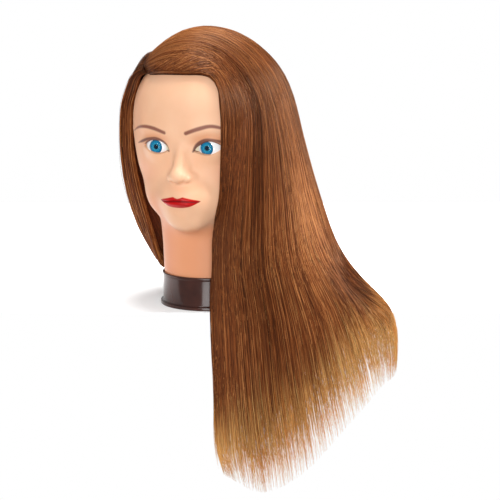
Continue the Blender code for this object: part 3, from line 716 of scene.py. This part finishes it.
def off_the_head(points, least):
    """Points nearer the skin than allowed are moved straight out from it."""
    moved = points.copy()
    near = skull(moved) < FAR_FROM_SKIN
    part = moved[near]
    least = np.broadcast_to(least, near.shape)[near]
    for _ in range(3):
        d = skull(part)
        slope = unit(np.stack([skull(part + step) - d for step in np.eye(3) * 0.5], -1))
        part = part + slope * np.clip(least - d, 0, None)[..., None]
    moved[near] = part
    return moved


def tubes(paths, radii):
    """Closed three-sided tubes along paths (strand, place, xyz): points and triangles."""
    count, places = paths.shape[:2]
    run = unit(np.gradient(paths, axis=1))
    aside = unit(np.cross(run, np.array([0.31, 0.87, 0.39])))     # any direction that no strand runs in
    up = np.cross(aside, run)
    turn = np.arange(3) * 2 * math.pi / 3
    ring = aside[:, :, None] * np.cos(turn)[:, None] + up[:, :, None] * np.sin(turn)[:, None]
    points = paths[:, :, None] + ring * radii[:, :, None, None]
    one = grid_faces(places, 3, wrap=True)
    last = (places - 1) * 3
    one = np.concatenate([one[:, [0, 1, 2]], one[:, [0, 2, 3]], [(0, 1, 2), (last + 2, last + 1, last)]])
    faces = (one[None] + (np.arange(count) * places * 3)[:, None, None]).reshape(-1, 3)
    return points.reshape(-1, 3), faces


def wander(count, places, waves, size):
    """A number that drifts smoothly along each strand: a few sine waves of random phase."""
    v = np.linspace(0, 1, places)[None, :]
    total = np.zeros((count, places))
    for wave in waves:
        phase = rng.uniform(0, 2 * math.pi, (count, 1))
        total += np.sin(2 * math.pi * wave * rng.uniform(0.7, 1.3, (count, 1)) * v + phase) / wave**0.8
    return total * size


def crown_highlight_face_shade(v):
    """How much lighter the hair is painted on the crown, as painted highlight, and how much darker beside the
    face, as painted shade.
    """
    return np.interp(v, [0, 0.1, 0.16, 0.24, 0.4, 0.55], [0.02, 0.12, 0.0, -0.14, -0.11, 0])


def bend_highlight_fold_shadow(s, v):
    """Shade added where the hair turns out on the left: a painted highlight on the bend and a painted shadow
    in the fold under it.
    """
    return 0.14 * hump(s, 4.2, 1.1) * hump(v, 0.6, 0.1) - 0.3 * hump(s, 4.6, 0.9) * hump(v, 0.8, 0.07)


HEAD_PLACES, HANG_PLACES = 17, 14  # places along a strand on the head and below it
HEAD_SHARE = 0.3  # of the length, where one becomes the other
LOCK_WIDTH = 0.015  # of the width of a section
ROLL_START, ROLL_END = 10.4, 0.16  # the dark roots right of the parting, round the sheet and down it


def strands(low, high, count, depth, radius, tone, ends=(0.89, 1.0), loose=1.0):
    """Paths, radii, shades and shares of the length of strands between two guides, gathered into locks."""
    locks = max(6, int((high - low) / LOCK_WIDTH))
    lock_s = low + (np.arange(locks) + rng.uniform(0, 1, locks)) / locks * (high - low)
    lock_end, lock_shade = rng.uniform(-0.02, 0.02, locks), rng.uniform(-1, 1, locks)
    s = low + (np.arange(count) + rng.uniform(0, 1, count)) / count * (high - low)
    lock = np.abs(s[:, None] + rng.normal(0, 0.015, count)[:, None] - lock_s[None]).argmin(1)
    sunk = rng.uniform(*depth, count)[:, None]
    end = np.clip(ends[0] + (ends[1] - ends[0]) * rng.uniform(0, 1, count)**1.3 + lock_end[lock], 0.4, 1.0)
    on_head = np.linspace(0, HEAD_SHARE, HEAD_PLACES, endpoint=False)
    hanging = HEAD_SHARE + (end - HEAD_SHARE)[:, None] * np.linspace(0, 1, HANG_PLACES)
    v = np.concatenate([np.broadcast_to(on_head, (count, HEAD_PLACES)), hanging], 1)
    places = v.shape[1]
    pull = 0.45 * soft_step(0.55, 1.0, v)
    at = s[:, None] * (1 - pull) + lock_s[lock][:, None] * pull
    here, side, out = frame_on_sheet(at, v)
    late = np.clip((v - 0.8) / 0.2, 0, 1)
    drift = loose * (0.05 + 2.2 * np.minimum(v, 0.6) + 0.6 * v**3)
    tip = wander(count, places, (4, 7), 3.4) + rng.normal(0, 3.2, count)[:, None]
    aside = wander(count, places, (1.2, 2.7, 5), 0.55) * drift + tip * loose * late**2
    inward = sunk * thickness(at, v) + 0.4 + 0.35 * drift * (1 + wander(count, places, (1.6,), 0.6))
    here = here + side * aside[..., None] - out * inward[..., None]
    here = off_the_head(here, 1.6 + 4.0 * (1 - sunk) * np.clip(v / 0.06, 0.3, 1))
    run = v / end[:, None]
    radii = rng.uniform(*radius, count)[:, None] * np.interp(run, [0, 0.03, 0.8, 1.0], [0.7, 1.0, 1.0, 0.2])
    shade = (tone + 0.06 * lock_shade[lock] + 0.34 * rng.uniform(-1, 1, count))[:, None]
    shade = shade + 0.12 * wander(count, places, (3, 6), 0.8) - 0.22 * np.exp(-v / 0.02)
    # painted highlight on the crown and the bend, painted shade beside the face and painted shadow in the
    # fold
    shade = shade + bend_highlight_fold_shadow(s[:, None], v) + crown_highlight_face_shade(v) * (s < LEFT_GUIDES)[:, None]
    rolled = np.clip(s - ROLL_START, 0, 1)[:, None] * np.clip(1 - v / ROLL_END, 0, 1)
    shade = shade - rolled * rng.uniform(0, 0.6, count)[:, None]
    return here, radii, np.clip(shade, 0, 1), run


def hairline_strands(count, places=30):
    """Strands rooted in the skin over the forehead, which stand up and then join the curtain."""
    share = np.linspace(0, 1, places) ** 1.25
    root = (np.arange(count) + rng.uniform(0, 1, count)) / count * 0.16 + 0.002
    end = rng.uniform(0.84, 1.0, count)
    v = root[:, None] + (end - root)[:, None] * share[None, :]
    goal = 0.03 + (1.9 - 9.0 * root[:, None]) * rng.uniform(0, 1, count)[:, None] ** 2
    joined = soft_step(0, (0.025 + 0.06 * goal) * rng.uniform(0.8, 1.4, count)[:, None], v - root[:, None])
    here, side, _ = frame_on_sheet(goal * joined, v)
    here = here + side * (wander(count, places, (1.2, 2.7), 0.4) * (0.3 + 1.5 * v**2.5))[..., None]
    lift = np.interp(joined, [0, 0.05, 0.4, 1.0], [-0.6, 6.2, 7.6, 6.6])
    lift = lift + rng.uniform(-0.8, 0.8, count)[:, None] * joined
    slope = unit(np.stack([skull(here + step) - skull(here - step) for step in np.eye(3) * 0.5], -1))
    here = here - slope * ((skull(here) - lift) * np.clip(1 - joined, 0, 1))[..., None]
    radii = rng.uniform(0.16, 0.3, count)[:, None]
    radii = radii * np.interp(share, [0, 0.05, 0.8, 1.0], [0.6, 1.0, 1.0, 0.3])
    # painted highlight on the crown and painted shade beside the face
    shade = rng.uniform(0.12, 0.76, count)[:, None] + crown_highlight_face_shade(v)
    shade = shade - 0.35 * np.exp(-(v - root[:, None]) / 0.012)
    return here, radii, np.clip(shade, 0, 1), v / end[:, None]


def strand_piece(name, batches, *node):
    """One mesh from batches of strands, with shade and run stored, and each strand a column on the map."""
    points, faces, shade, run, columns = [], [], [], [], []
    total = sum(len(b[0]) for b in batches)
    first = done = 0
    for paths, radii, tone, v in batches:
        p, f = tubes(paths, radii)
        points.append(p)
        faces.append(f + first)
        first += len(p)
        shade.append(np.repeat(tone.ravel(), 3))
        run.append(np.repeat(v.ravel(), 3))
        columns.append(np.repeat((np.arange(len(paths)) + done + 0.5) / total, paths.shape[1] * 3))
        done += len(paths)
    ob = make_mesh(name, np.concatenate(points), np.concatenate(faces))
    run = np.concatenate(run)
    tag(ob, "shade", np.concatenate(shade))
    tag(ob, "run", run)
    lay_uv(ob, np.concatenate(columns), 0.002 + 0.996 * run)
    return finish_piece(ob, "hair_auburn", *node)


def under_body(name, low, high, columns=25, rows=56):
    """The thick mass of hair under the loose strands: a closed slab with a ragged foot."""
    s, v = np.meshgrid(np.linspace(low + 0.01, high - 0.01, columns), np.linspace(0, 1, rows), indexing="ij")
    v = v * (0.84 + 0.03 * np.sin(s * 47) + 0.025 * np.sin(s * 113))
    here, _, out = frame_on_sheet(s, v)
    thick = thickness(s, v)
    ragged = 0.35 * np.sin(s * 61 + v * 5) + 0.35 * np.sin(s * 137 + v * 3)
    outer = off_the_head(here - out * (0.4 * thick + 1.1 + ragged * v)[..., None], 1.9)
    inner = off_the_head(here - out * (thick + 1.2)[..., None], 0.8)
    close = np.clip(np.linspace(0, 1, rows) * 2 - 1, 0, 0.9)[None, :, None]
    inner = inner * (1 - close) + (outer - out * 0.5) * close
    front = grid_faces(columns, rows)
    half = columns * rows
    edge = np.concatenate([np.arange(rows), np.arange(1, columns) * rows + rows - 1,
                           (columns - 1) * rows + np.arange(rows - 2, -1, -1),
                           np.arange(columns - 2, 0, -1) * rows])
    after = np.roll(edge, -1)
    sides = np.stack([edge, edge + half, after + half, after], -1)
    faces = np.concatenate([front[:, ::-1], front + half, sides[:, ::-1]])
    ob = make_mesh(name, np.concatenate([outer.reshape(-1, 3), inner.reshape(-1, 3)]), faces)
    tag(ob, "run", np.tile(v.ravel(), 2))
    tag(ob, "round", np.tile(s.ravel(), 2))
    return finish_piece(ob, "hair_auburn")


# Strands in each section: on top, deeper, and standing off.
TOP_COUNT, DEEP_COUNT, STRAY_COUNT = 400, 650, 30
HAIRLINE_COUNT, RIGHT_EDGE_COUNT, CURTAIN_EDGE_COUNT = 700, 420, 240
QUICK_SHARE, BACK_SHARE = 0.2, 0.7
BACK_SECTIONS = range(6, 11)


def build_hair():
    pieces, bodies = [], []
    share = 1.0
    for k, (word, tone) in enumerate(zip(SECTIONS, SECTION_TONE)):
        seen = BACK_SHARE * share if k in BACK_SECTIONS else share
        batches = [strands(k, k + 1, int(TOP_COUNT * seen), (0.0, 0.08), (0.18, 0.34), tone),
                   # the deeper strands are painted darker, as painted shade under the top ones
                   strands(k, k + 1, int(DEEP_COUNT * seen), (0.05, 0.85), (0.2, 0.36), tone - 0.16),
                   strands(k, k + 1, int(STRAY_COUNT * seen) + 1, (-0.14, 0.0), (0.09, 0.14), 0.75,
                           ends=(0.6, 1.0), loose=2.6)]
        pieces.append(strand_piece("strands_" + word, batches, "hair_" + word))
        bodies.append(under_body("mass_" + word, k, k + 1))
    pieces.append(strand_piece("strands_hairline", [hairline_strands(int(HAIRLINE_COUNT * share))]))
    right_edge = strands(11.82, 12.0, int(RIGHT_EDGE_COUNT * share), (0.0, 1.4), (0.24, 0.42), 0.62)
    pieces.append(strand_piece("strands_right_edge", [right_edge]))
    curtain_edge = strands(0.0, 0.12, int(CURTAIN_EDGE_COUNT * share), (0.0, 1.0), (0.18, 0.3), 0.55)
    pieces.append(strand_piece("strands_curtain_edge", [curtain_edge]))
    return pieces, bodies


# ---------------- materials

# Paints of the face in the order they lie over each other: the attribute, its strength and its colour. The
# sides, jaw and neck also get painted shade, and the cheeks painted pink light.
PAINTS = (("neck", 0.85, (228, 150, 106)), ("side_shade", 0.8, (224, 144, 102)),
          ("pink_cheek_light", 0.4, (240, 166, 134)), ("eye_shadow", 0.65, (216, 136, 88)),
          ("brow", 0.95, (134, 78, 62)), ("liner", 0.85, (100, 58, 54)), ("low_liner", 0.45, (150, 90, 72)))


def vinyl():
    n = Nodes("painted_vinyl")
    at = n.where()
    skin = n.mottled(22, 3, (240, 186, 148), (246, 196, 160))
    for name, strength, colour in PAINTS:
        skin = n.mix(n.math("MULTIPLY", n.attribute(name), strength), skin, srgb(*colour))
    lips = n.mix(n.noise(90, 2, 0.5, at), srgb(208, 2, 8), srgb(180, 1, 5))
    # painted shade along the seam of the lips, in the crease
    lips = n.mix(n.math("MULTIPLY", n.attribute("seam"), 0.75), lips, srgb(96, 4, 8))
    skin = n.mix(n.attribute("lips"), skin, lips)
    gloss = n.mix(n.attribute("lips"), level(0.46), level(0.2))
    n.set(Base_Color=skin, Roughness=gloss, Subsurface_Weight=0.05, Subsurface_Radius=(0.008, 0.003, 0.0015),
          Subsurface_Scale=0.6, Specular_IOR_Level=0.3, Coat_Weight=0.06, Coat_Roughness=0.3)
    n.bump(n.noise(900, 2, 0.5, at), 0.0001, 0.12)
    return n.material


# the flecks are random tone and partly painted highlight: short lighter stretches along the strands
FLECKS_ROUND, FLECKS_ALONG = 5000.0, 26.0  # small changes of shade from strand to strand and along each


def hair():
    n = Nodes("auburn_hair")
    run, shade = n.attribute("run"), n.attribute("shade")
    place = n.add("ShaderNodeUVMap", uv_map="OFBake").outputs["UV"]
    strand = n.add("ShaderNodeSeparateXYZ", {0: place}).outputs["X"]
    flecks = n.noise(1.0, 1, 0.5, n.vector(n.math("MULTIPLY", strand, FLECKS_ROUND),
                                           n.math("MULTIPLY", run, FLECKS_ALONG)))
    shade = n.math("MULTIPLY_ADD", n.math("SUBTRACT", flecks, 0.5), 0.7, shade)
    tone = n.ramp(shade, (0.0, srgb(42, 16, 5)), (0.35, srgb(90, 41, 17)), (0.65, srgb(136, 73, 35)),
                  (1.0, srgb(210, 140, 82)))
    # golden ends of the ombre, painted brighter still for the light shining through the thin tips: partly the
    # hair's own colour, partly painted light
    tip = n.ramp(shade, (0.0, srgb(252, 148, 62)), (1.0, srgb(255, 224, 146)))
    late = n.ramp(run, (0.87, level(0)), (0.93, level(0.4)), (0.98, level(1)))
    n.set(Base_Color=n.mix(late, tone, tip), Roughness=0.4, Specular_IOR_Level=0.35,
          Specular_Tint=srgb(255, 214, 170))
    return n.material


def hair_mass():
    n = Nodes("hair_mass")
    run = n.attribute("run")
    combed = n.vector(n.math("MULTIPLY", n.attribute("round"), 60.0), n.math("MULTIPLY", run, 1.6))
    lines = n.noise(3.0, 4, 0.6, combed)
    # the hair's own colour painted darker, as painted shade deep inside the hair
    dark = n.ramp(lines, (0.3, srgb(78, 34, 16)), (0.7, srgb(126, 64, 33)))
    late = n.ramp(run, (0.82, level(0)), (0.92, level(1)))
    n.set(Base_Color=n.mix(late, dark, srgb(196, 118, 62)), Roughness=0.6, Specular_IOR_Level=0.3)
    n.bump(lines, 0.0006, 0.8)
    return n.material


def eye_white():
    n = Nodes("eye_white")
    n.set(Base_Color=n.mottled(60, 2, (248, 247, 248), (254, 254, 255), 0.8), Roughness=0.12,
          Coat_Weight=0.8, Coat_Roughness=0.03)
    return n.material


def iris(centre, name):
    n = Nodes(name)
    centre = tuple(c * MM for c in centre)
    offset = n.add("ShaderNodeVectorMath", {0: n.where(), 1: centre}, operation="SUBTRACT")
    parts = n.add("ShaderNodeSeparateXYZ", {0: offset.outputs[0]})
    x, z = parts.outputs["X"], parts.outputs["Z"]
    turn = n.math("ARCTAN2", z, x)
    far = n.math("SQRT", n.math("ADD", n.math("MULTIPLY", x, x), n.math("MULTIPLY", z, z)))
    far = n.math("DIVIDE", far, IRIS_R * MM)
    fibres = n.vector(n.math("COSINE", turn), n.math("SINE", turn), n.math("MULTIPLY", far, 0.18))
    spokes = n.noise(11, 4, 0.65, fibres)
    blue = n.ramp(spokes, (0.32, srgb(0, 102, 164)), (0.5, srgb(0, 172, 226)), (0.68, srgb(90, 228, 255)))
    rings = n.ramp(far, (0.36, srgb(2, 30, 54)), (0.45, srgb(90, 214, 240)), (0.62, srgb(10, 164, 216)),
                   (0.84, srgb(0, 108, 166)), (0.97, srgb(2, 26, 50)))
    n.set(Base_Color=n.mix(0.5, blue, rings), Roughness=0.4, Specular_IOR_Level=0.2)
    return n.material


def pupil():
    n = Nodes("pupil_black")
    n.set(Base_Color=n.mottled(400, 2, (6, 8, 12), (16, 20, 26), 0.8), Roughness=0.5, Specular_IOR_Level=0.2)
    return n.material


def cornea():
    n = Nodes("cornea_clear")
    n.set(Base_Color=n.mottled(200, 2, (10, 56, 86), (18, 68, 100), 0.8), Roughness=0.03,
          Specular_IOR_Level=0.5, Coat_Weight=0.4, Coat_Roughness=0.02, Alpha=0.16)
    return n.material


def collar_plastic():
    n = Nodes("collar_plastic")
    at = n.where()
    n.set(Base_Color=n.mottled(40, 3, (50, 22, 16), (70, 34, 25)),
          Roughness=n.ramp(n.noise(130, 3, 0.6, at), (0.3, level(0.12)), (0.8, level(0.24))),
          Specular_IOR_Level=0.35, Coat_Weight=0.15, Coat_Roughness=0.06)
    n.bump(n.noise(26, 2, 0.4, at), 0.0008, 0.25)
    return n.material


def insert_plastic():
    n = Nodes("insert_plastic")
    n.set(Base_Color=n.mottled(300, 3, (24, 24, 26), (38, 38, 40)), Roughness=0.5)
    n.bump(n.noise(1500, 2, 0.5, n.where()), 0.0001, 0.3)
    return n.material


def foam():
    n = Nodes("foam_core")
    n.set(Base_Color=n.mottled(500, 4, (216, 205, 176), (238, 228, 202), roughness=0.6), Roughness=0.95)
    n.bump(n.noise(900, 4, 0.6, n.where()), 0.0006, 0.6)
    return n.material


def dress(obs, material):
    for ob in obs:
        ob.data.materials.clear()
        ob.data.materials.append(material)


# ---------------- studio

# In metres, apart from the floor.
AIM_POINT = (0.03, 0, 0.15)  # of the lamps
LAMPS = {"key": ((0.15, -1.8, 0.7), 0.7, 9), "fill": ((0.5, -1.6, -0.2), 0.8, 8.5),
         "side": ((1.5, 0.3, 0.9), 0.7, 24), "top": ((0.1, 0.1, 1.6), 0.8, 17),
         "spark": ((0.75, -1.5, 0.8), 0.1, 2)}      # place, width, power
TURN = math.radians(18.5)  # the camera looks at the head from this far round its left
CAMERA_PLACE, CAMERA_TILT = (0.5198, -1.4078, 0.319), math.radians(80.14)
LENS_LENGTH, SENSOR_WIDTH = 98.1, 36.0
FLOOR_LOW, FLOOR_HIGH = (-700, -58, -0.4), (900, 800, -0.15)  # millimetres, like every mesh
SHADOW_FROM, SHADOW_TO = 0.075, 0.19  # the floor's own glow grows between these, and hides the shadow
WORLD_ON_OBJECT = 0.45  # the surroundings are white, and light the head by only this much


def build_lamps():
    for name, (place, size, power) in LAMPS.items():
        lamp = bpy.data.lights.new(name, "AREA")
        lamp.shape, lamp.size, lamp.energy = "DISK", size, power
        ob = bpy.data.objects.new(name, lamp)
        bpy.context.scene.collection.objects.link(ob)
        ob.location = place
        ob.rotation_euler = (Vector(AIM_POINT) - Vector(place)).to_track_quat("-Z", "Y").to_euler()


def build_floor():
    """A pale slab the head stands on, which ends in front of it so the long hair can hang."""
    xs, ys, zs = zip(FLOOR_LOW, FLOOR_HIGH)
    corners = [(x, y, z) for x in xs for y in ys for z in zs]
    sides = [(0, 1, 3, 2), (4, 6, 7, 5), (0, 4, 5, 1), (2, 3, 7, 6), (0, 2, 6, 4), (1, 5, 7, 3)]
    floor = make_mesh("floor", corners, sides, smooth=False)
    floor.rotation_euler.z = TURN
    white = Nodes("studio_white")
    far = white.add("ShaderNodeVectorMath", {0: white.where()}, operation="LENGTH").outputs["Value"]
    glow = white.add("ShaderNodeMapRange", {"Value": far, "From Min": SHADOW_FROM, "From Max": SHADOW_TO,
                                            "To Min": 0.02, "To Max": 1.0}).outputs["Result"]
    white.set(Base_Color=srgb(250, 250, 250), Roughness=0.9, Emission_Color=level(1), Emission_Strength=glow)
    dress([floor], white.material)


def build_world():
    world = bpy.data.worlds.new("studio")
    bpy.context.scene.world = world
    world.use_nodes = True
    tree = world.node_tree
    background = tree.nodes["Background"]
    background.inputs["Color"].default_value = level(1)
    seen = tree.nodes.new("ShaderNodeLightPath").outputs["Is Camera Ray"]
    strength = tree.nodes.new("ShaderNodeMapRange")
    strength.inputs["To Min"].default_value = WORLD_ON_OBJECT
    strength.inputs["To Max"].default_value = 1.0
    tree.links.new(seen, strength.inputs["Value"])
    tree.links.new(strength.outputs["Result"], background.inputs["Strength"])


def build_camera():
    lens = bpy.data.cameras.new("camera")
    lens.lens, lens.sensor_width = LENS_LENGTH, SENSOR_WIDTH
    lens.clip_start, lens.clip_end = 0.05, 30
    ob = bpy.data.objects.new("camera", lens)
    bpy.context.scene.collection.objects.link(ob)
    ob.location = CAMERA_PLACE
    ob.rotation_euler = (CAMERA_TILT, 0, TURN)
    bpy.context.scene.camera = ob
    bpy.context.scene.view_settings.view_transform = "Standard"


head = build_head()
eyes = build_eyes()
collar = build_collar()
strand_pieces, mass_pieces = build_hair()
dress([head], vinyl())
sight = GAZE @ Vector((0, -EYE_R, 0))
for k, (side, word) in enumerate(((1, "left"), (-1, "right"))):
    white_ball, iris_disc, pupil_disc, dome = eyes[k * 4:k * 4 + 4]
    dress([white_ball], eye_white())
    middle = (side * EYE[0] + sight[0], EYE[1] + sight[1], EYE[2] + sight[2])
    dress([iris_disc], iris(middle, "iris_" + word))
    dress([pupil_disc], pupil())
    dress([dome], cornea())
dress([collar], collar_plastic())
dress(strand_pieces, hair())
dress(mass_pieces, hair_mass())
dress([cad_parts["foam_core"]], foam())
dress([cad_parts["socket_insert"]], insert_plastic())
build_floor()
build_world()
build_lamps()
build_camera()
